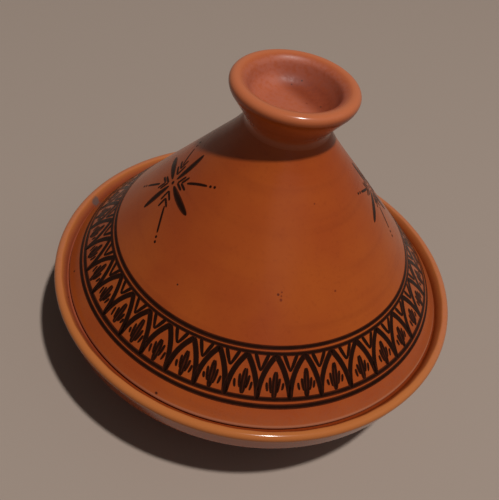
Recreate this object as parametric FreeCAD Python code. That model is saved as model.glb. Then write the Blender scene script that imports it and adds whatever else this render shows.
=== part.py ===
import FreeCAD, Part
import math
import os

# A glazed earthenware tagine: a shallow round dish, a hollow conical lid that
# sits loose on a ledge inside the dish's rim, and a cup-shaped knob luted to
# the lid's tip. Every piece is thrown on a wheel, so each one is a section
# turned about the Z axis. The origin is on the table, under the centre.
# Lengths are in millimetres, angles in degrees.

# Driving dimensions of the dish
dish_r = 133.6
dish_h = 66.0
rim_top_w = 4.4
rim_bead_h = 22.0
rim_bead_lean = 18.0
rim_under_rise = 4.0
rim_inner_slope = 58.0
rim_top_outer_round = 3.3
rim_top_inner_round = 1.4
rim_under_round = 4.0
rim_neck_round = 5.0
ledge_depth = 6.0
ledge_spare = 3.0
ledge_corner_round = 1.2
ledge_lip_round = 3.0
bowl_slope = 58.0
bowl_wall = 8.7
bowl_floor_h = 12.0
bowl_floor_round = 34.0
belly_round = 24.0
foot_h = 6.0
foot_inset = 17.0
foot_w = 9.0
foot_recess = 3.0
foot_round = 1.4
foot_neck_round = 2.4

# Driving dimensions of the lid's cone
lid_play = 3.2
lid_wall = 7.0
cone_slope = 50.6
lid_nose_round = 2.5
lid_inner_round = 1.2
flare_round = 90.0
neck_slope = 63.0
neck_r = 25.6
crown_wall = 12.0
crown_round = 12.0

# Driving dimensions of the knob
knob_lip_r = 37.4
knob_lip_w = 8.8
knob_lip_h = 6.1
knob_waist_round = 6.0
knob_flare_slope = 55.0
knob_under_round = 7.4
knob_lip_outer_round = 3.7
knob_lip_inner_round = 7.0
knob_cup_depth = 15.0
knob_floor_r = 22.0
knob_floor_round = 7.0

# Two roundings that end closer than this meet with no straight stretch between
shortest_edge = 0.001


def section_wire(corners):
    """Close a section in the XZ half plane; a corner is (radius, height, rounding)."""
    places = [FreeCAD.Vector(radius, 0, height) for radius, height, rounding in corners]
    roundings = [rounding for radius, height, rounding in corners]
    starts = []
    finishes = []
    arcs = []
    for index, here in enumerate(places):
        back = (places[index - 1] - here).normalize()
        onward = (places[(index + 1) % len(places)] - here).normalize()
        half_angle = back.getAngle(onward) / 2
        setback = roundings[index] / math.tan(half_angle)
        start = here + back * setback
        finish = here + onward * setback
        starts.append(start)
        finishes.append(finish)
        if roundings[index] > 0:
            inward = (back + onward).normalize()
            bulge = roundings[index] / math.sin(half_angle) - roundings[index]
            arcs.append(Part.Arc(start, here + inward * bulge, finish).toShape())
        else:
            arcs.append(None)
    edges = []
    for index, arc in enumerate(arcs):
        if arc:
            edges.append(arc)
        following = starts[(index + 1) % len(starts)]
        if finishes[index].distanceToPoint(following) > shortest_edge:
            edges.append(Part.LineSegment(finishes[index], following).toShape())
    return Part.Wire(edges)


def thrown(corners):
    """Turn a section once about the Z axis into a solid."""
    face = Part.Face(section_wire(corners))
    return face.revolve(FreeCAD.Vector(0, 0, 0), FreeCAD.Vector(0, 0, 1), 360)


# Where the pieces meet: the ledge carries the lid, and the cone's tip the knob
ledge_z = dish_h - ledge_depth
rim_lean = 1 / math.tan(math.radians(rim_inner_slope))
rim_inner_r = dish_r - rim_top_w
ledge_r = rim_inner_r - ledge_depth * rim_lean
lid_edge_r = ledge_r + lid_nose_round * rim_lean - lid_play
cone_angle = math.radians(cone_slope)
neck_angle = math.radians(neck_slope)

# The lid's outer edge is a rounded nose. The cone's outside would meet the
# ledge at lid_foot_r if that nose were left sharp.
lid_foot_r = lid_edge_r - lid_nose_round + lid_nose_round / math.tan(cone_angle / 2)
lid_seat_inner_r = lid_foot_r - lid_wall / math.sin(cone_angle)

# The cone's outside bends up into the neck along one long arc, which ends at
# the flat face that the knob is luted to.
flare_setback = flare_round * math.tan((neck_angle - cone_angle) / 2)
flare_corner_r = neck_r + flare_setback * math.cos(neck_angle)
flare_corner_z = ledge_z + (lid_foot_r - flare_corner_r) * math.tan(cone_angle)
joint_z = flare_corner_z + flare_setback * math.sin(neck_angle)


def make_dish():
    """A bowl on a turned foot ring, with a rolled rim round a ledge for the lid.

    The rim's outside leans in below its widest line, which lies just under the top.
    """
    slope = math.tan(math.radians(bowl_slope))
    wall_across = bowl_wall / math.sin(math.radians(bowl_slope))
    ledge_lip_r = lid_seat_inner_r - ledge_spare
    rim_under_z = dish_h - rim_bead_h
    bead_lean = math.radians(rim_bead_lean)
    bead_setback = rim_top_outer_round * math.tan(math.pi / 4 + bead_lean / 2)
    bead_top_r = dish_r - rim_top_outer_round + bead_setback
    bead_low_r = bead_top_r - rim_bead_h * math.tan(bead_lean)
    wall_top_z = rim_under_z + rim_under_rise
    bowl_floor_r = ledge_lip_r - (ledge_z - bowl_floor_h) / slope
    wall_top_r = ledge_lip_r - (ledge_z - wall_top_z) / slope + wall_across
    belly_r = ledge_lip_r - (ledge_z - foot_h) / slope + wall_across
    foot_r = belly_r - foot_inset
    foot_inner_r = foot_r - foot_w
    return thrown([
        (0, foot_recess, 0),
        (foot_inner_r, foot_recess, foot_round),
        (foot_inner_r, 0, foot_round),
        (foot_r, 0, foot_round),
        (foot_r, foot_h, foot_neck_round),
        (belly_r, foot_h, belly_round),
        (wall_top_r, wall_top_z, rim_neck_round),
        (bead_low_r, rim_under_z, rim_under_round),
        (bead_top_r, dish_h, rim_top_outer_round),
        (rim_inner_r, dish_h, rim_top_inner_round),
        (ledge_r, ledge_z, ledge_corner_round),
        (ledge_lip_r, ledge_z, ledge_lip_round),
        (bowl_floor_r, bowl_floor_h, bowl_floor_round),
        (0, bowl_floor_h, 0),
    ])


def make_lid_cone():
    """A hollow cone of even wall, closed at its tip and flaring into a short neck."""
    hollow_top_z = joint_z - crown_wall
    hollow_top_r = lid_seat_inner_r - (hollow_top_z - ledge_z) / math.tan(cone_angle)
    return thrown([
        (lid_foot_r, ledge_z, lid_nose_round),
        (flare_corner_r, flare_corner_z, flare_round),
        (neck_r, joint_z, 0),
        (0, joint_z, 0),
        (0, hollow_top_z, 0),
        (hollow_top_r, hollow_top_z, crown_round),
        (lid_seat_inner_r, ledge_z, lid_inner_round),
    ])


def make_lid_knob():
    """A small flared cup with a thick rolled lip, on the same axis as the cone."""
    flare_angle = math.radians(knob_flare_slope)
    waist_setback = knob_waist_round * math.tan((math.pi - neck_angle - flare_angle) / 2)
    waist_r = neck_r - waist_setback * math.cos(neck_angle)
    waist_z = joint_z + waist_setback * math.sin(neck_angle)
    lip_under_z = waist_z + (knob_lip_r - waist_r) * math.tan(flare_angle)
    lip_z = lip_under_z + knob_lip_h
    cup_mouth_r = knob_lip_r - knob_lip_w
    cup_floor_z = lip_z - knob_cup_depth
    return thrown([
        (0, joint_z, 0),
        (neck_r, joint_z, 0),
        (waist_r, waist_z, knob_waist_round),
        (knob_lip_r, lip_under_z, knob_under_round),
        (knob_lip_r, lip_z, knob_lip_outer_round),
        (cup_mouth_r, lip_z, knob_lip_inner_round),
        (knob_floor_r, cup_floor_z, knob_floor_round),
        (0, cup_floor_z, 0),
    ])


os.makedirs("parts", exist_ok=True)
make_dish().exportStep("parts/dish.step")
make_lid_cone().exportStep("parts/lid_cone.step")
make_lid_knob().exportStep("parts/lid_knob.step")
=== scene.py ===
import math
import random

import bmesh
import bpy
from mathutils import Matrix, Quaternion, Vector


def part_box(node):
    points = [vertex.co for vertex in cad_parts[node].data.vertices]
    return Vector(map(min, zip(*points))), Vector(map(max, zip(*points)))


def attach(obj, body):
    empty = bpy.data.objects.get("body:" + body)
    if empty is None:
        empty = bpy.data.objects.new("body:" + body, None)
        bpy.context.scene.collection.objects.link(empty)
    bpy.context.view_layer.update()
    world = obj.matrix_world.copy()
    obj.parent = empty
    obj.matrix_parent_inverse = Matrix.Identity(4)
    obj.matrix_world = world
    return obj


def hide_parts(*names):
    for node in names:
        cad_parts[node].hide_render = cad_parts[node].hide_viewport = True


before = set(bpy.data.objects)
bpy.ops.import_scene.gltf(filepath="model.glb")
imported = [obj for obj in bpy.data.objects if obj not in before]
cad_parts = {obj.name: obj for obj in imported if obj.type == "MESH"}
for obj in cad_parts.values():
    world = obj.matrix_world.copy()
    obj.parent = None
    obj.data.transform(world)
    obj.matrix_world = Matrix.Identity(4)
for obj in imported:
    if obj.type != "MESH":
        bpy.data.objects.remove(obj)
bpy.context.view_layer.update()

# Dish: a shallow bowl of red earthenware, thrown in one piece with its rolled rim
# and the ledge that carries the lid, then turned to leave a foot ring. A honey
# glaze covers it, and the foot is wiped bare for the firing.
mm = 0.001
dish_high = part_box("dish")[1]
lid_low, lid_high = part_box("lid_cone")
rim_r = dish_high.x
rim_z = dish_high.z
ledge_z = lid_low.z
bead_h = 22.0 * mm
bead_w = 4.4 * mm
bead_lean = math.radians(18)
bead_outer_round = 3.3 * mm
bead_inner_round = 1.4 * mm
bead_under_round = 4.0 * mm
rim_inner_slope = math.radians(58)
rim_under_rise = 4.0 * mm
rim_neck_round = 5.0 * mm
ledge_spare = 3.0 * mm
ledge_corner_round = 1.2 * mm
ledge_lip_round = 3.0 * mm
bowl_slope = math.radians(58)
bowl_thickness = 8.7 * mm
bowl_floor_z = 12.0 * mm
bowl_floor_round = 34.0 * mm
belly_round = 24.0 * mm
foot_z = 6.0 * mm
foot_inset = 17.0 * mm
foot_w = 9.0 * mm
foot_recess = 3.0 * mm
foot_round = 1.4 * mm
foot_neck_round = 2.4 * mm
rim_wander = 0.3 * mm
flank_wander = 0.25 * mm
cone_slope = math.radians(50.6)
lid_nose = 2.5 * mm
lid_wall = 7.0 * mm

bead_under_z = rim_z - bead_h
bead_setback = bead_outer_round * math.tan(math.radians(45) + bead_lean / 2)
bead_top_r = rim_r - bead_outer_round + bead_setback
bead_low_r = bead_top_r - bead_h * math.tan(bead_lean)
bead_inner_r = rim_r - bead_w
ledge_r = bead_inner_r - (rim_z - ledge_z) / math.tan(rim_inner_slope)
lid_foot_r = lid_high.x - lid_nose + lid_nose / math.tan(cone_slope / 2)
lid_seat_r = lid_foot_r - lid_wall / math.sin(cone_slope)
ledge_lip_r = lid_seat_r - ledge_spare
bowl_rise = math.tan(bowl_slope)
bowl_wall = bowl_thickness / math.sin(bowl_slope)
bowl_floor_r = ledge_lip_r - (ledge_z - bowl_floor_z) / bowl_rise
wall_top_z = bead_under_z + rim_under_rise
wall_top_r = ledge_lip_r - (ledge_z - wall_top_z) / bowl_rise + bowl_wall
belly_r = ledge_lip_r - (ledge_z - foot_z) / bowl_rise + bowl_wall
foot_r = belly_r - foot_inset
foot_inner_r = foot_r - foot_w

turning_steps = 192
degrees_per_bend = 9
fewest_bends = 3
same_place = 0.01 * mm
same_point_on_axis = 0.005 * mm
thrown_crease = math.radians(50)


def select_vertex(piece, place):
    """Select the one vertex of the mesh in edit mode that lies at a place."""
    mesh = bmesh.from_edit_mesh(piece.data)
    for vertex in mesh.verts:
        vertex.select_set((vertex.co - place).length < same_place)
    mesh.select_flush_mode()
    bmesh.update_edit_mesh(piece.data)


def select_long_edges(piece, length):
    """Select the edges in edit mode that are longer than a length, and say how many."""
    mesh = bmesh.from_edit_mesh(piece.data)
    for vertex in mesh.verts:
        vertex.select_set(False)
    long_edges = [edge for edge in mesh.edges if edge.calc_length() > length]
    for edge in long_edges:
        edge.select_set(True)
    bmesh.update_edit_mesh(piece.data)
    return len(long_edges)


def throw(name, corners, finest=3.0 * mm):
    """Spin half a section about the Z axis; its corners are (radius, height, rounding)."""
    bpy.ops.object.select_all(action="DESELECT")
    bpy.ops.mesh.primitive_plane_add(size=1, calc_uvs=False)
    piece = bpy.context.object
    piece.name = name
    piece.data.name = name
    places = [Vector((radius, 0, height)) for radius, height, rounding in corners]
    bpy.ops.object.mode_set(mode="EDIT")
    bpy.ops.mesh.select_mode(type="VERT")
    bpy.ops.mesh.select_all(action="SELECT")
    bpy.ops.mesh.merge(type="CENTER")
    bpy.ops.transform.translate(value=places[0])
    for here, there in zip(places, places[1:]):
        bpy.ops.mesh.extrude_region_move(TRANSFORM_OT_translate={"value": there - here})
    for before, here, after, corner in zip(places, places[1:], places[2:], corners[1:]):
        rounding = corner[2]
        if rounding:
            half_corner = (before - here).angle(after - here) / 2
            setback = rounding / math.tan(half_corner)
            swing = math.degrees(math.pi - 2 * half_corner)
            bends = max(fewest_bends, round(swing / degrees_per_bend))
            select_vertex(piece, here)
            bpy.ops.mesh.bevel(affect="VERTICES", offset=setback, segments=bends)
    while select_long_edges(piece, 2 * finest):
        bpy.ops.mesh.subdivide(number_cuts=1)
    bpy.ops.mesh.select_all(action="SELECT")
    bpy.ops.mesh.spin(steps=turning_steps, angle=math.tau, center=(0, 0, 0), axis=(0, 0, 1))
    bpy.ops.mesh.select_all(action="SELECT")
    bpy.ops.mesh.remove_doubles(threshold=same_point_on_axis)
    bpy.ops.mesh.normals_make_consistent(inside=False)
    bpy.ops.object.mode_set(mode="OBJECT")
    bpy.ops.object.shade_smooth_by_angle(angle=thrown_crease)
    return piece


def rise(low, high, value):
    """Go smoothly from 0 at low to 1 at high; high may also lie below low."""
    part = min(max((value - low) / (high - low), 0.0), 1.0)
    return part * part * (3 - 2 * part)


def note_on_clay(piece, name, amount):
    """Store a number for each vertex, from its radius, its height and its turn."""
    layer = piece.data.attributes.new(name, "FLOAT", "POINT")
    for vertex, value in zip(piece.data.vertices, layer.data):
        turn = math.atan2(vertex.co.x, -vertex.co.y)
        value.value = amount(math.hypot(vertex.co.x, vertex.co.y), vertex.co.z, turn)


def tone(red, green, blue):
    """Turn a colour as it is seen, 0 to 255, into the shader's own numbers."""
    def linear(part):
        seen = part / 255
        return seen / 12.92 if seen < 0.04 else ((seen + 0.055) / 1.055) ** 2.4

    return (linear(red), linear(green), linear(blue), 1)


def add_node(material, kind, sockets, **settings):
    """Add a shader node; a socket gets a plain value or a link from another output."""
    node = material.node_tree.nodes.new("ShaderNode" + kind)
    for name, value in settings.items():
        setattr(node, name, value)
    for socket, value in sockets.items():
        if isinstance(value, bpy.types.NodeSocket):
            material.node_tree.links.new(value, node.inputs[socket])
        else:
            node.inputs[socket].default_value = value
    return node


def reckon(material, operation, *values):
    """Work out one number from others, and give its output."""
    return add_node(material, "Math", dict(enumerate(values)), operation=operation).outputs[0]


def mix_colours(material, share, first, second):
    """Mix two colours by a share from 0 to 1, and give the mixed colour's output."""
    mixer = add_node(material, "Mix", {0: share, 6: first, 7: second}, data_type="RGBA")
    return mixer.outputs[2]


def spread(material, value, low, high, to_low=0.0, to_high=1.0):
    """Stretch the range low to high of a value over another range, and hold it there."""
    limits = {"From Min": low, "From Max": high, "To Min": to_low, "To Max": to_high}
    sockets = {"Value": value, **limits}
    return add_node(material, "MapRange", sockets, interpolation_type="SMOOTHSTEP").outputs[0]


def noise(material, place, scale, detail, roughness=0.5):
    """Soft patches from 0 to 1 at a place."""
    sockets = {"Vector": place, "Scale": scale, "Detail": detail, "Roughness": roughness}
    return add_node(material, "TexNoise", sockets).outputs[0]


def noted(material, name):
    """The number that is stored on the clay under a name."""
    return add_node(material, "Attribute", {}, attribute_name=name).outputs["Fac"]


honey = tone(160, 74, 24)
russet = tone(148, 62, 22)
deep_russet = tone(112, 42, 16)
# A lighter tone for thin glaze, also used as painted light on the rim's crown.
thin_and_lit_honey = tone(173, 100, 51)
# A pink tone for dust, also used as a painted sheen on the rim and in the cup.
pink_dust_and_sheen = tone(176, 107, 90)
# Pale bare clay, also a painted glint on the lid's edge.
bare_clay_and_glint = tone(176, 108, 76)
iron_speck = tone(46, 16, 11)
grey_chip = tone(100, 79, 72)
cloud_scale = 14.0
grain_scale = 420.0
turning_scale = (9.0, 9.0, 160.0)
speck_scale = 95.0
dust_dulls = 0.7
dent_depth = 0.1 * mm
dent_strength = 0.05
glass_ior = 1.5


def honey_glaze(name, marks, thin_and_lit_tone, dust_and_sheen_tone, gloss, smoothest):
    """Honey glaze on red clay: clouded, thin on edges, with iron specks and a soft shine.

    A mark is (place, size, colour).
    """
    material = bpy.data.materials.new(name)
    material.use_nodes = True
    place = add_node(material, "TexCoord", {}).outputs["Object"]
    flattened = add_node(material, "Mapping", {"Vector": place, "Scale": turning_scale})
    clouds = noise(material, place, cloud_scale, detail=3.0, roughness=0.55)
    turning = noise(material, flattened.outputs[0], scale=1.0, detail=2.0)
    grain = noise(material, place, grain_scale, detail=3.0, roughness=0.6)

    glaze = mix_colours(material, spread(material, clouds, 0.3, 0.7), honey, russet)
    streaks = spread(material, turning, 0.5, 0.8, to_high=0.22)
    glaze = mix_colours(material, streaks, glaze, deep_russet)
    mottle = spread(material, grain, 0.5, 0.8, to_high=0.2)
    glaze = mix_colours(material, mottle, glaze, deep_russet)
    # Lighter where the glaze runs thin, partly painted light on crests and on the lip's top, and
    # painted fill light on the knob's shaded flare.
    glaze = mix_colours(material, noted(material, "thin_glaze_and_light"), glaze, thin_and_lit_tone)
    # Dust, partly a painted sheen on the dish's rim and ledge, in the knob's cup and under the
    # lid's edge.
    settled = spread(material, grain, 0.3, 0.6, to_low=0.3, to_high=0.55)
    dust_and_sheen = reckon(material, "MULTIPLY", noted(material, "dust_and_sheen"), settled)
    glaze = mix_colours(material, dust_and_sheen, glaze, dust_and_sheen_tone)
    # Darker patches: painted shade in the dish's gap under the lid, and a darker back and right
    # in the knob's cup.
    patchy = spread(material, grain, 0.35, 0.65, to_low=0.85)
    darkened = reckon(material, "MULTIPLY", noted(material, "darkened"), patchy)
    glaze = mix_colours(material, darkened, glaze, deep_russet)

    cells = add_node(material, "TexVoronoi", {"Vector": place, "Scale": speck_scale})
    picked = add_node(material, "SeparateColor", {"Color": cells.outputs["Color"]}).outputs[0]
    few = spread(material, picked, 0.965, 0.975)
    dot = spread(material, cells.outputs["Distance"], 0.03, 0.075, to_low=1.0, to_high=0.0)
    glaze = mix_colours(material, reckon(material, "MULTIPLY", few, dot), glaze, iron_speck)
    for spot, size, colour in marks:
        away = add_node(material, "VectorMath", {0: place, 1: spot}, operation="DISTANCE")
        ragged = reckon(material, "MULTIPLY_ADD", grain, size, away.outputs["Value"])
        fleck = spread(material, ragged, size, 1.5 * size, to_low=0.9, to_high=0.0)
        glaze = mix_colours(material, fleck, glaze, colour)
    # Bare clay on the dish's foot, and on the lid's edge a worn pale line that is partly a
    # painted glint.
    bare = noted(material, "bare_clay_and_glint")
    glaze = mix_colours(material, bare, glaze, bare_clay_and_glint)

    shine = spread(material, clouds, 0.3, 0.7, smoothest, 1.4 * smoothest)
    shine = reckon(material, "MULTIPLY_ADD", dust_and_sheen, dust_dulls, shine)
    shine = reckon(material, "MAXIMUM", shine, bare)
    dents = add_node(
        material, "Bump", {"Height": grain, "Strength": dent_strength, "Distance": dent_depth}
    )
    shader = material.node_tree.nodes["Principled BSDF"]
    links = material.node_tree.links
    links.new(glaze, shader.inputs["Base Color"])
    links.new(shine, shader.inputs["Roughness"])
    links.new(dents.outputs[0], shader.inputs["Normal"])
    shader.inputs["IOR"].default_value = glass_ior
    shader.inputs["Specular IOR Level"].default_value = gloss
    return material


def at_turn(degrees, radius, height):
    """A place on a thrown piece: turned to the right from the front, in degrees and mm."""
    turn = math.radians(degrees)
    return Vector((radius * math.sin(turn), -radius * math.cos(turn), height)) * mm


def between(start, finish, turn):
    """Go smoothly from 0 at one turn from the front to 1 at another, both in degrees."""
    return rise(math.radians(start), math.radians(finish), turn)


def pale_left_side(turn):
    """Say how far a place lies on the dish's left side, where the ledge is paler: dust and
    painted sheen.
    """
    return between(-25, -55, turn) * between(-175, -140, turn)


def dish_thin_and_lit_crown(radius, height, turn):
    """The crown of the rim is lighter: thin glaze, and painted light on its top."""
    outward = rise(bead_inner_r - 2.4 * mm, bead_inner_r - 0.6 * mm, radius)
    return outward * rise(rim_z - 9 * mm, rim_z - 2 * mm, height)


def dish_dust_and_sheen(radius, height, turn):
    """Dust with a painted pink sheen lies on the left of the ledge, and on the crown of the rim
    at its sides and back.
    """
    on_ledge = (
        rise(ledge_r - 8 * mm, ledge_r - 5 * mm, radius)
        * rise(ledge_r + 2 * mm, ledge_r, radius)
        * rise(ledge_z - 2 * mm, ledge_z, height)
        * rise(ledge_z + 3 * mm, ledge_z + 1 * mm, height)
    )
    on_bead = (
        rise(bead_inner_r - 1 * mm, bead_inner_r + 1 * mm, radius)
        * rise(rim_z - 9 * mm, rim_z - 3 * mm, height)
    )
    return 0.8 * on_ledge * pale_left_side(turn) + 0.6 * on_bead * between(50, 85, abs(turn))


def dish_gap_shade(radius, height, turn):
    """Painted shade darkens the ledge and the flank over it, the shade of the gap between lid
    and rim, except on the pale left side.
    """
    outward = rise(ledge_r - 9 * mm, ledge_r - 6 * mm, radius - 7 * mm * pale_left_side(turn))
    inside_bead = rise(bead_inner_r - 1.0 * mm, bead_inner_r - 2.2 * mm, radius)
    return 0.85 * outward * inside_bead * rise(ledge_z - 1 * mm, ledge_z, height)


def dish_bare_clay(radius, height, turn):
    """The foot ring is bare underneath."""
    return rise(2.2 * mm, 1.2 * mm, height) * rise(foot_inner_r - 2 * mm, foot_inner_r, radius)


dish = throw("glazed_dish", [
    (0, foot_recess, 0),
    (foot_inner_r, foot_recess, foot_round),
    (foot_inner_r, 0, foot_round),
    (foot_r, 0, foot_round),
    (foot_r, foot_z, foot_neck_round),
    (belly_r, foot_z, belly_round),
    (wall_top_r, wall_top_z, rim_neck_round),
    (bead_low_r, bead_under_z, bead_under_round),
    (bead_top_r, rim_z, bead_outer_round),
    (bead_inner_r, rim_z, bead_inner_round),
    (ledge_r, ledge_z, ledge_corner_round),
    (ledge_lip_r, ledge_z, ledge_lip_round),
    (bowl_floor_r, bowl_floor_z, bowl_floor_round),
    (0, bowl_floor_z, 0),
])
for vertex in dish.data.vertices:
    turn = math.atan2(vertex.co.x, -vertex.co.y)
    out = Vector((math.sin(turn), -math.cos(turn), 0))
    near_rim = rise(ledge_r - 2 * mm, bead_inner_r, math.hypot(vertex.co.x, vertex.co.y))
    wander = math.sin(2 * turn + 0.7) + 0.5 * math.sin(5 * turn + 2.0)
    vertex.co -= out * rim_wander * near_rim * (1 + wander / 1.5) / 2
    on_flank = (
        near_rim
        * rise(rim_z + 1 * mm, rim_z - 1 * mm, vertex.co.z)
        * rise(ledge_z - 4 * mm, ledge_z, vertex.co.z)
        * rise(bead_inner_r + 2 * mm, bead_inner_r, math.hypot(vertex.co.x, vertex.co.y))
    )
    ripple = math.sin(17 * turn + 1.2) * math.sin(23 * turn)
    vertex.co += out * flank_wander * on_flank * ripple
note_on_clay(dish, "thin_glaze_and_light", dish_thin_and_lit_crown)
note_on_clay(dish, "dust_and_sheen", dish_dust_and_sheen)
note_on_clay(dish, "darkened", dish_gap_shade)
note_on_clay(dish, "bare_clay_and_glint", dish_bare_clay)
dish_marks = [
    (at_turn(-105.5, 126.6, 62.5), 4.6 * mm, grey_chip),
    (at_turn(-81.5, 123.5, 60), 1.0 * mm, iron_speck),
    (at_turn(-63, 126.0, 61.5), 0.9 * mm, iron_speck),
]
dish.data.materials.append(
    honey_glaze("dish_glaze", dish_marks, thin_and_lit_honey, pink_dust_and_sheen, gloss=0.15, smoothest=0.11)
)
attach(dish, "dish")
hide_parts("dish")

# Lid cone: a hollow cone of the same clay, thrown in one and closed at its tip. It
# bends up into a short neck, and its rounded edge stands loose on the dish's ledge.
neck_r = 25.6 * mm
neck_slope = math.radians(63)
flare_round = 90.0 * mm
lid_inner_round = 1.2 * mm
crown_wall = 12.0 * mm
crown_round = 12.0 * mm
joint_z = lid_high.z
flare_setback = flare_round * math.tan((neck_slope - cone_slope) / 2)
flare_r = neck_r + flare_setback * math.cos(neck_slope)
flare_z = ledge_z + (lid_foot_r - flare_r) * math.tan(cone_slope)
hollow_z = joint_z - crown_wall
hollow_r = lid_seat_r - (hollow_z - ledge_z) / math.tan(cone_slope)
# A grey tone for dust, also a painted sheen under the lid's edge.
grey_dust_and_sheen = tone(158, 112, 92)
burnt_speck = tone(84, 28, 12)


def on_cone(turn, slant):
    """A place on the cone: turned to the right from the front, and up its slope."""
    radius = lid_foot_r - slant * math.cos(cone_slope)
    height = ledge_z + slant * math.sin(cone_slope)
    return Vector((radius * math.sin(turn), -radius * math.cos(turn), height))


def lid_thin_glaze(radius, height, turn):
    """The glaze is thinner at the cone's foot."""
    return 0.5 * rise(ledge_z + 6 * mm, ledge_z, height)


def lid_dust_and_sheen(radius, height, turn):
    """Dust with a painted pale sheen lies under the edge, and dust lies lightly on the right of
    the cone's foot.
    """
    under_edge = (
        rise(lid_seat_r, lid_high.x, radius)
        * rise(ledge_z + 3.2 * mm, ledge_z + 1.8 * mm, height)
    )
    on_foot = (
        rise(ledge_z + 16 * mm, ledge_z + 4 * mm, height)
        * rise(ledge_z, ledge_z + 3 * mm, height)
        * between(-60, 40, turn)
        * between(175, 130, turn)
    )
    return under_edge + 0.25 * on_foot


def lid_worn_edge_and_glint(radius, height, turn):
    """A pale line on the edge, most at the front and right: worn thin glaze, and a painted
    glint.
    """
    on_edge = (
        rise(ledge_z + 1.4 * mm, ledge_z + 2.2 * mm, height)
        * rise(ledge_z + 3.9 * mm, ledge_z + 3.1 * mm, height)
        * rise(lid_high.x - 2.2 * mm, lid_high.x - 1.2 * mm, radius)
    )
    return on_edge * (0.3 + 0.65 * between(-45, -10, turn) * between(110, 70, turn))


lid = throw("glazed_lid", [
    (0, joint_z, 0),
    (neck_r, joint_z, 0),
    (flare_r, flare_z, flare_round),
    (lid_foot_r, ledge_z, lid_nose),
    (lid_seat_r, ledge_z, lid_inner_round),
    (hollow_r, hollow_z, crown_round),
    (0, hollow_z, 0),
])
note_on_clay(lid, "thin_glaze_and_light", lid_thin_glaze)
note_on_clay(lid, "dust_and_sheen", lid_dust_and_sheen)
note_on_clay(lid, "bare_clay_and_glint", lid_worn_edge_and_glint)
lid_marks = [
    (on_cone(math.radians(11.8), 80.8 * mm), 1.1 * mm, burnt_speck),
    (on_cone(math.radians(13.3), 82.2 * mm), 0.8 * mm, deep_russet),
    (on_cone(math.radians(13.2), 80.0 * mm), 0.7 * mm, deep_russet),
    (on_cone(math.radians(13.1), 77.8 * mm), 1.1 * mm, deep_russet),
    (on_cone(math.radians(34.5), 131.2 * mm), 0.7 * mm, deep_russet),
    (on_cone(math.radians(38.4), 79.0 * mm), 0.9 * mm, deep_russet),
    (on_cone(math.radians(-19.5), 5.7 * mm), 1.2 * mm, iron_speck),
    (on_cone(math.radians(-70.8), 9 * mm), 1.0 * mm, iron_speck),
]
lid.data.materials.append(
    honey_glaze("lid_glaze", lid_marks, thin_and_lit_honey, grey_dust_and_sheen, gloss=0.23, smoothest=0.2)
)
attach(lid, "lid")
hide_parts("lid_cone")

# Knob: a small flared cup with a fat rolled lip, thrown apart and luted to the
# cone's tip with slip before the firing. The lid is lifted by it.
knob_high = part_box("lid_knob")[1]
lip_r = knob_high.x
lip_z = knob_high.z
lip_w = 8.8 * mm
lip_h = 6.1 * mm
lip_under_round = 7.4 * mm
lip_outer_round = 3.7 * mm
lip_inner_round = 7.0 * mm
waist_round = 6.0 * mm
knob_flare = math.radians(55)
knob_lean = math.sin(math.radians(2.3))
cup_depth = 15.0 * mm
cup_floor_r = 22.0 * mm
cup_floor_round = 11.0 * mm
cup_z = lip_z - cup_depth
cup_mouth_r = lip_r - lip_w
under_lip_z = lip_z - lip_h
waist_setback = waist_round * math.tan((math.pi - neck_slope - knob_flare) / 2)
waist_r = neck_r - waist_setback * math.cos(neck_slope)
waist_z = joint_z + waist_setback * math.sin(neck_slope)
# A lighter tone for thin glaze on the lip, also painted light on its top and painted fill light
# on the flare.
thin_and_lit_russet = tone(178, 97, 60)


def outside_knob(radius, height):
    """Say how far a place is on the outside of the flare, below the lip."""
    flare_here_r = lip_r - (under_lip_z - height) / math.tan(knob_flare)
    below = rise(under_lip_z, under_lip_z - 4 * mm, height)
    return below * rise(-5 * mm, -2 * mm, radius - flare_here_r)


def in_cup(radius, height):
    """Say how far a place is inside the cup, from 0 on the lip's crown to 1 below it."""
    return (
        rise(cup_mouth_r + 3.6 * mm, cup_mouth_r - 1.4 * mm, radius)
        * rise(cup_z - 1 * mm, cup_z - 0.5 * mm, height)
        * rise(lip_r - 3 * mm, lip_r - 5 * mm, radius)
    )


def knob_thin_lip_and_fill_light(radius, height, turn):
    """The lip is lighter: thin glaze, and painted light on its top; painted fill light lightens
    the flare's shaded outside.
    """
    on_lip = (
        rise(cup_mouth_r, lip_r - lip_w / 2, radius)
        * rise(under_lip_z, lip_z - 1 * mm, height)
    )
    # Painted fill light on the flare's shaded outside.
    return on_lip + 0.3 * outside_knob(radius, height)


def knob_dust_and_sheen(radius, height, turn):
    """Dust with a painted pink sheen lies in the cup, a little more on its wall than on its
    floor.
    """
    return in_cup(radius, height) * (0.8 + 0.15 * rise(cup_z + 1 * mm, cup_z + 4 * mm, height))


def knob_darker_back_right(radius, height, turn):
    """The cup's floor is darker at the back and right, and its wall less."""
    back_right = rise(1 * mm, 14 * mm, radius * math.sin(turn - math.radians(45)))
    below_mouth = rise(cup_mouth_r, cup_mouth_r - 3 * mm, radius) * in_cup(radius, height)
    on_wall = rise(cup_z + 2 * mm, cup_z + 8 * mm, height)
    return below_mouth * back_right * (0.9 - 0.65 * on_wall)


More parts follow.
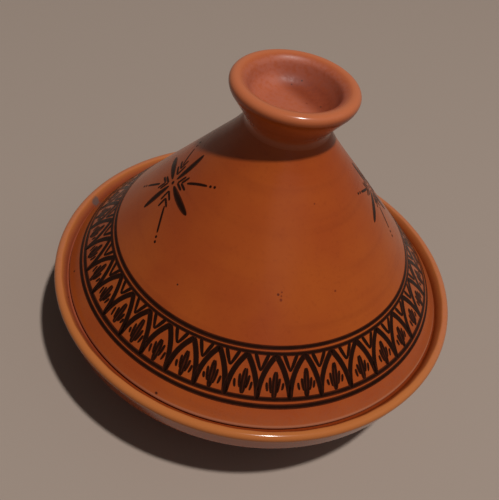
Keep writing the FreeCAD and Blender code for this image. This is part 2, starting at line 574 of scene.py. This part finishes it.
knob = throw("glazed_knob", [
    (0, joint_z, 0),
    (neck_r, joint_z, 0),
    (waist_r, waist_z, waist_round),
    (lip_r, under_lip_z, lip_under_round),
    (lip_r, lip_z, lip_outer_round),
    (cup_mouth_r, lip_z, lip_inner_round),
    (cup_floor_r, cup_z, cup_floor_round),
    (0, cup_z, 0),
], finest=1.0 * mm)
note_on_clay(knob, "thin_glaze_and_light", knob_thin_lip_and_fill_light)
note_on_clay(knob, "dust_and_sheen", knob_dust_and_sheen)
note_on_clay(knob, "darkened", knob_darker_back_right)
for vertex in knob.data.vertices:
    vertex.co.z -= vertex.co.y * knob_lean * rise(joint_z, lip_z, vertex.co.z)
knob_marks = [
    (at_turn(-172.5, 18.9, 200.0), 0.7 * mm, iron_speck),
    (at_turn(172.5, 22.1, 202.0), 0.7 * mm, iron_speck),
    (at_turn(98.8, 16.6, 199.8), 0.7 * mm, iron_speck),
    (at_turn(113, 8.9, 199.8), 0.8 * mm, deep_russet),
]
knob.data.materials.append(
    honey_glaze("knob_glaze", knob_marks, thin_and_lit_russet, pink_dust_and_sheen, gloss=0.28, smoothest=0.17)
)
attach(knob, "lid")
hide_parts("lid_knob")

# Painted rings: two pairs of black lines, drawn with a brush while the lid turned
# on the wheel. They hold the arcade between them and lie in the glaze.
hand = random.Random(11)
band_middle = 33.0 * mm
band_r = lid_foot_r - band_middle * math.cos(cone_slope)
ring_widths = (2.9 * mm, 3.1 * mm, 2.4 * mm, 2.8 * mm)
ring_slants = (16.0 * mm, 20.0 * mm, 46.6 * mm, 50.0 * mm)
ring_sway = (0.2 * mm, 0.3 * mm, 0.7 * mm, 0.8 * mm)
ring_ripple = 0.15 * mm
ring_cells = 300
paint_proud = 0.1 * mm
paint_depth = 0.35 * mm
paint_crease = math.radians(40)
paint_gloss = 0.05
patch_scale = 160.0
brush_step = 0.01
black_oxide = tone(32, 14, 8)
thin_oxide = tone(72, 29, 14)


def on_band(flat):
    """Wrap a flat drawing round the lid; across is measured at the band's middle."""
    return on_cone(flat.x / band_r, flat.y)


def brush_stroke(path, half_width, cells, wrap):
    """Draw a flat stroke along a path, as wide as the brush is pressed, and wrap it."""
    bpy.ops.object.select_all(action="DESELECT")
    bpy.ops.mesh.primitive_grid_add(x_subdivisions=2, y_subdivisions=cells, size=1)
    stroke = bpy.context.object
    for vertex in stroke.data.vertices:
        along = (1 - math.cos(math.pi * (vertex.co.y + 0.5))) / 2
        before, after = path(max(along - brush_step, 0)), path(min(along + brush_step, 1))
        ahead = (after - before).normalized()
        aside = Vector((ahead.y, -ahead.x)) * half_width(along) * 2 * vertex.co.x
        vertex.co = wrap(path(along) + aside)
    return stroke


def lay_on_lid(name, strokes, proud):
    """Join brush strokes into one skin of paint that follows the lid, bedded in the glaze."""
    bpy.ops.object.select_all(action="DESELECT")
    for stroke in strokes:
        stroke.select_set(True)
    bpy.context.view_layer.objects.active = strokes[0]
    bpy.ops.object.join()
    paint = bpy.context.object
    paint.name = name
    paint.data.name = name
    bpy.ops.object.mode_set(mode="EDIT")
    bpy.ops.mesh.select_all(action="SELECT")
    bpy.ops.mesh.remove_doubles(threshold=same_place)
    bpy.ops.object.mode_set(mode="OBJECT")
    follow = paint.modifiers.new("follow the lid", "SHRINKWRAP")
    follow.target = lid
    follow.wrap_method = "NEAREST_SURFACEPOINT"
    follow.wrap_mode = "ABOVE_SURFACE"
    follow.offset = proud
    bpy.ops.object.modifier_apply(modifier=follow.name)
    for face in paint.data.polygons:
        if face.normal.z < 0:
            face.flip()
    bedded = paint.modifiers.new("bed in the glaze", "SOLIDIFY")
    bedded.thickness = paint_depth
    bedded.offset = -1
    bpy.ops.object.modifier_apply(modifier=bedded.name)
    bpy.ops.object.shade_smooth_by_angle(angle=paint_crease)
    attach(paint, "lid")
    return paint


def oxide_paint(name, thinness):
    """Black oxide under the glaze: thick in a stroke's middle, and brown where it thins."""
    material = bpy.data.materials.new(name)
    material.use_nodes = True
    coords = add_node(material, "TexCoord", {})
    across = add_node(material, "SeparateXYZ", {"Vector": coords.outputs["UV"]}).outputs[0]
    side = reckon(material, "ABSOLUTE", reckon(material, "SUBTRACT", across, 0.5))
    patches = noise(material, coords.outputs["Object"], patch_scale, detail=3.0)
    worn = reckon(material, "MULTIPLY_ADD", patches, 0.3, side)
    browned = spread(material, worn, 0.48 - thinness, 0.72 - thinness)
    colour = mix_colours(material, browned, black_oxide, thin_oxide)
    shine = spread(material, patches, 0.3, 0.7, to_low=0.2, to_high=0.32)
    shader = material.node_tree.nodes["Principled BSDF"]
    material.node_tree.links.new(colour, shader.inputs["Base Color"])
    material.node_tree.links.new(shine, shader.inputs["Roughness"])
    shader.inputs["IOR"].default_value = glass_ior
    shader.inputs["Specular IOR Level"].default_value = paint_gloss
    return material


def painted_ring(slant, sway, width):
    """One line all round the lid, a little higher on one side than on the other."""
    def path(along):
        turn = math.tau * (along - 0.5)
        ripple = ring_ripple * math.sin(4 * turn + slant / mm)
        return Vector((turn * band_r, slant + sway * math.sin(turn) + ripple))

    def half_width(along):
        return width / 2 * (1 + 0.08 * math.sin(math.tau * 3 * along + slant / mm))

    return brush_stroke(path, half_width, ring_cells, on_band)


rings = [painted_ring(*ring) for ring in zip(ring_slants, ring_sway, ring_widths)]
band_lines = lay_on_lid("painted_rings", rings, paint_proud)
band_lines.data.materials.append(oxide_paint("ring_paint", thinness=0.17))

# Painted arcade: thirty-seven pointed arches stand side by side between the rings.
# Each limb is one press of the brush, and a small V fills the gap over each foot.
arches = 37
bay = math.tau * band_r / arches
bay_start = 0.1
bay_drift = 1.5
arch_foot = 19.6 * mm
arch_top = 45.6 * mm
arch_sway = 0.7 * mm
limb_w = 3.35 * mm
limb_overlap = 0.2 * mm
limb_bows = (0.37, 0.48)
limb_hollow = 0.34
vee_w = 2.3 * mm
vee_top = 46.4 * mm
vee_bend = 41.4 * mm
vee_tip = 37.0 * mm
vee_spread = (4.2 * mm, 2.0 * mm, 0.1 * mm)
arcade_proud = paint_proud + 0.02 * mm
blunt_tip = 0.25


def arch_foot_across(count):
    """Where a foot stands, counted from the front; the spacing drifts round the lid."""
    drift = bay_drift * math.cos(math.tau * (count - 1.5) / (arches / 2))
    return count * bay - math.radians(bay_start + drift) * band_r


def curve_through(points):
    """A curve pulled towards its middle points, from the first point to the last."""
    def path(along):
        left = [Vector(point) for point in points]
        while len(left) > 1:
            left = [first.lerp(second, along) for first, second in zip(left, left[1:])]
        return left[0]

    return path


def pressed(start, middle, end, tip=0.12):
    """Half the width of a stroke that swells in its middle and has rounded tips."""
    def half_width(along):
        swell = (middle - (start + end) / 2) * 4 * along * (1 - along)
        width = start + (end - start) * along + swell
        edge = min(along, 1 - along, tip) / tip
        return width / 2 * max(math.sqrt(1 - (1 - edge) ** 2), blunt_tip)

    return half_width


def by_hand(low, high):
    """A small length between two numbers of millimetres, as an unsteady hand gives it."""
    return hand.uniform(low, high) * mm


strokes = []
for count in range(arches):
    foot = arch_foot_across(count)
    next_foot = arch_foot_across(count + 1)
    middle = (foot + next_foot) / 2 + by_hand(-0.3, 0.3)
    top = arch_top + by_hand(-0.4, 0.4) + arch_sway * math.sin(middle / band_r)
    for start, inward, bow in ((foot, 1, limb_bows[0]), (next_foot, -1, limb_bows[1])):
        reach = inward * abs(middle - start)
        limb = curve_through([
            (start, arch_foot),
            (start + (bow - limb_hollow) * reach, 0.5 * top + 0.5 * arch_foot),
            (start + bow * reach, 0.75 * top + 0.25 * arch_foot),
            (middle + inward * limb_overlap, top),
        ])
        foot_w_here = limb_w * hand.uniform(0.75, 1.0)
        top_w_here = limb_w * hand.uniform(1.0, 1.12)
        press = pressed(foot_w_here, limb_w, top_w_here, tip=0.05)
        strokes.append(brush_stroke(limb, press, cells=12, wrap=on_band))
    vee_middle = foot + by_hand(-0.5, 0.5)
    vee_heights = (vee_top, vee_bend, vee_tip + by_hand(-0.8, 0.8))
    for side in (-1, 1):
        vee = curve_through([
            (vee_middle + side * aside, height) for aside, height in zip(vee_spread, vee_heights)
        ])
        press = pressed(1.05 * vee_w, vee_w, 0.55 * vee_w)
        strokes.append(brush_stroke(vee, press, cells=6, wrap=on_band))
arcade = lay_on_lid("painted_arcade", strokes, arcade_proud)
arcade.data.materials.append(oxide_paint("arcade_paint", thinness=0.0))

# Painted leaves: a leaf stands in each arch, brushed by hand in six strokes. Two
# make a split blade in the middle, with a short stroke and a dash at each side.
blade_foot = 21.6 * mm
blade_top = 36.6 * mm
blade_w = 1.9 * mm
blade_press = pressed(blade_w, blade_w, blade_w)
blade_spread = (0.3 * mm, 1.6 * mm, 0.4 * mm)
short_heights = (24.6 * mm, 28.0 * mm, 32.6 * mm)
short_spread = (-0.9 * mm, 0, 0.4 * mm)
short_lean = 0.4
short_press = pressed(1.4 * mm, 1.9 * mm, 1.6 * mm)
dash_heights = (24.7 * mm, 27.4 * mm, 29.9 * mm)
dash_spread = (-0.6 * mm, 0.2 * mm, 0.2 * mm)
dash_press = pressed(1.3 * mm, 1.7 * mm, 1.5 * mm, tip=0.2)
leaf_proud = paint_proud + 0.01 * mm
strokes = []
for count in range(arches):
    middle = (arch_foot_across(count) + arch_foot_across(count + 1)) / 2 + by_hand(-0.5, 0.5)
    lean = by_hand(-0.7, 0.7)
    top = blade_top + by_hand(-1.8, 1.6)
    low = blade_foot + by_hand(-1.2, 1.0)
    for side in (-1, 1):
        blade = curve_through([
            (middle + side * blade_spread[0], low),
            (middle + side * blade_spread[1], (low + top) / 2),
            (middle + lean + side * blade_spread[2], top),
        ])
        strokes.append(brush_stroke(blade, blade_press, cells=8, wrap=on_band))
        beside = by_hand(2.3, 2.7)
        short = curve_through([
            (middle + side * (beside + short_spread[0]), short_heights[0] + by_hand(-0.9, 0.8)),
            (middle + side * (beside + short_spread[1]), short_heights[1]),
            (
                middle + lean * short_lean + side * (beside + short_spread[2]),
                short_heights[2] + by_hand(-0.9, 0.9),
            ),
        ])
        strokes.append(brush_stroke(short, short_press, cells=6, wrap=on_band))
        outside = by_hand(4.2, 4.9)
        dash = curve_through([
            (middle + side * (outside + dash_spread[0]), dash_heights[0] + by_hand(-0.5, 1.2)),
            (middle + side * (outside + dash_spread[1]), dash_heights[1]),
            (middle + side * (outside + dash_spread[2]), dash_heights[2] + by_hand(-0.8, 0.5)),
        ])
        strokes.append(brush_stroke(dash, dash_press, cells=5, wrap=on_band))
leaves = lay_on_lid("painted_leaves", strokes, leaf_proud)
thin_paint = oxide_paint("leaf_paint", thinness=0.12)
leaves.data.materials.append(thin_paint)

# Painted stars: two stars stand high on the cone, on opposite sides. Each has four
# broad petals, and between them a thin ray with two chevrons and two dots.
star_slant = 101.5 * mm
star_turns = {"a": math.radians(-74.2), "b": math.radians(108.5)}
tip_slant = lid_foot_r / math.cos(cone_slope)
petals = ((6, 29.0 * mm), (95, 26.8 * mm), (182, 29.5 * mm), (272, 25.8 * mm))
petal_start = 3.3 * mm
petal_bend = 0.6
petal_press = pressed(1.7 * mm, 4.7 * mm, 2.0 * mm, tip=0.1)
rays = (
    (48, 14.2 * mm, 31.4 * mm, (5.0 * mm, 8.9 * mm)),
    (137, 12.8 * mm, 26.0 * mm, (5.7 * mm, 10.2 * mm)),
    (231, 14.6 * mm, 29.4 * mm, (5.0 * mm, 8.5 * mm)),
    (324, 15.6 * mm, 32.6 * mm, (5.6 * mm, 10.5 * mm)),
)
ray_press = pressed(1.5 * mm, 1.8 * mm, 1.4 * mm, tip=0.08)
chevron_turn = 47
chevron_legs = (7.6 * mm, 7.0 * mm)
chevron_spread = math.radians(36)
chevron_press = pressed(1.5 * mm, 1.8 * mm, 1.4 * mm, tip=0.1)
heart_half = 1.3 * mm
dot_half = 0.9 * mm
dot_steps = (2.4 * mm, 5.5 * mm)


def on_star(turn):
    """Wrap a flat drawing round a point of the cone without stretching it."""
    out = tip_slant - star_slant

    def wrap(flat):
        far = math.hypot(flat.x, out - flat.y)
        aside = math.atan2(flat.x, out - flat.y) / math.cos(cone_slope)
        return on_cone(turn + aside, tip_slant - far)

    return wrap


def turned(points, angle):
    """Turn points of a flat drawing that was made along the X axis."""
    direction = Vector((math.cos(angle), math.sin(angle)))
    return [direction * x + Vector((-direction.y, direction.x)) * y for x, y in points]


def round_dot(along, angle, half, wrap):
    """A dot of the brush, some way along a direction of a flat drawing."""
    path = curve_through(turned([(along - half, 0), (along + half, 0)], angle))
    press = pressed(2 * half, 2 * half, 2 * half, tip=0.5)
    return brush_stroke(path, press, cells=6, wrap=wrap)


for letter, turn in star_turns.items():
    wrap = on_star(turn)
    strokes = [round_dot(0, 0, heart_half, wrap)]
    for petal_angle, reach in petals:
        angle = math.radians(petal_angle) + hand.uniform(-0.03, 0.03)
        sweep = by_hand(-1.2, 0.2)
        petal = turned([(petal_start, 0), (reach * petal_bend, sweep), (reach, 0)], angle)
        strokes.append(brush_stroke(curve_through(petal), petal_press, cells=12, wrap=wrap))
    for quarter, (ray_angle, start, reach, chevrons) in enumerate(rays):
        angle = math.radians(ray_angle)
        bend = by_hand(-0.8, 0.8)
        ray = turned([(start, 0), ((start + reach) / 2, bend), (reach, 0)], angle)
        strokes.append(brush_stroke(curve_through(ray), ray_press, cells=8, wrap=wrap))
        for step in dot_steps:
            strokes.append(round_dot(reach + step, angle, dot_half, wrap))
        corner = math.radians(chevron_turn + 90 * quarter)
        for apex, leg in zip(chevrons, chevron_legs):
            tip = turned([(apex, 0)], corner)[0]
            for side in (-1, 1):
                far = turned([(leg, 0)], corner + side * chevron_spread)[0]
                limb = curve_through([tip, tip + far])
                strokes.append(brush_stroke(limb, chevron_press, cells=6, wrap=wrap))
    star = lay_on_lid("painted_star_" + letter, strokes, paint_proud)
    star.data.materials.append(thin_paint)

# Floor, light and camera: a plain pale floor and backdrop, a small lamp high at the
# front right, a wide soft panel beside it, weak light from all round, and the
# camera where the photograph was taken, a little rolled.
pale_ground = tone(155, 138, 125)
floor_size = 6.0
floor_roughness = 0.9
bpy.ops.object.select_all(action="DESELECT")
bpy.ops.mesh.primitive_plane_add(size=floor_size)
floor = bpy.context.object
floor.name = "floor"
floor_paint = bpy.data.materials.new("pale_floor")
floor_paint.use_nodes = True
floor_shader = floor_paint.node_tree.nodes["Principled BSDF"]
floor_shader.inputs["Base Color"].default_value = pale_ground
floor_shader.inputs["Roughness"].default_value = floor_roughness
floor.data.materials.append(floor_paint)

light_aim = Vector((0, 0, 0.1))
lamp_turn, lamp_height, lamp_far = 44, 71.5, 4.0
lamp_size = 0.2
lamp_power = 138.0
panel_turn, panel_height, panel_far = 60, 50, 2.2
panel_size = (3.8, 1.4)
panel_power = 5.4


def add_area_light(turn, height, far, power):
    """An area light aimed at the pot, at a turn and a height in degrees."""
    turn, height = math.radians(turn), math.radians(height)
    level = math.cos(height)
    way = Vector((math.sin(turn) * level, -math.cos(turn) * level, math.sin(height)))
    bpy.ops.object.light_add(type="AREA", location=light_aim + way * far)
    light = bpy.context.object
    light.rotation_euler = (-way).to_track_quat("-Z", "Y").to_euler()
    light.data.energy = power
    return light


lamp = add_area_light(lamp_turn, lamp_height, lamp_far, lamp_power)
lamp.data.shape = "DISK"
lamp.data.size = lamp_size
panel = add_area_light(panel_turn, panel_height, panel_far, panel_power)
panel.data.shape = "RECTANGLE"
panel.data.size, panel.data.size_y = panel_size
panel.visible_camera = False

sky_colour = (0.95, 0.97, 1.0, 1)
sky_strength = 0.055
world = bpy.data.worlds.new("even_light")
bpy.context.scene.world = world
world.use_nodes = True
sky = world.node_tree.nodes
links = world.node_tree.links
sky["Background"].inputs["Color"].default_value = sky_colour
sky["Background"].inputs["Strength"].default_value = sky_strength
backdrop = sky.new("ShaderNodeBackground")
backdrop.inputs["Color"].default_value = pale_ground
ray_kind = sky.new("ShaderNodeLightPath")
seen_sky = sky.new("ShaderNodeMixShader")
seen = ray_kind.outputs["Is Camera Ray"]
for mirrored in ("Is Glossy Ray", "Is Transmission Ray"):
    either = sky.new("ShaderNodeMath")
    either.operation = "MAXIMUM"
    links.new(seen, either.inputs[0])
    links.new(ray_kind.outputs[mirrored], either.inputs[1])
    seen = either.outputs[0]
links.new(seen, seen_sky.inputs[0])
links.new(sky["Background"].outputs[0], seen_sky.inputs[1])
links.new(backdrop.outputs[0], seen_sky.inputs[2])
links.new(seen_sky.outputs[0], sky["World Output"].inputs["Surface"])

view_from = Vector((0, -0.38265, 0.45140))
view_to = Vector((-0.00687, 0.00045, 0.08001))
view_roll = math.radians(11.53)
view_lens = 57.49
view_sensor = 36.0
bpy.ops.object.camera_add(location=view_from)
camera = bpy.context.object
looking = (view_to - view_from).to_track_quat("-Z", "Y") @ Quaternion((0, 0, 1), view_roll)
camera.rotation_euler = looking.to_euler()
camera.data.lens = view_lens
camera.data.sensor_width = view_sensor
bpy.context.scene.camera = camera
bpy.context.scene.view_settings.view_transform = "Standard"
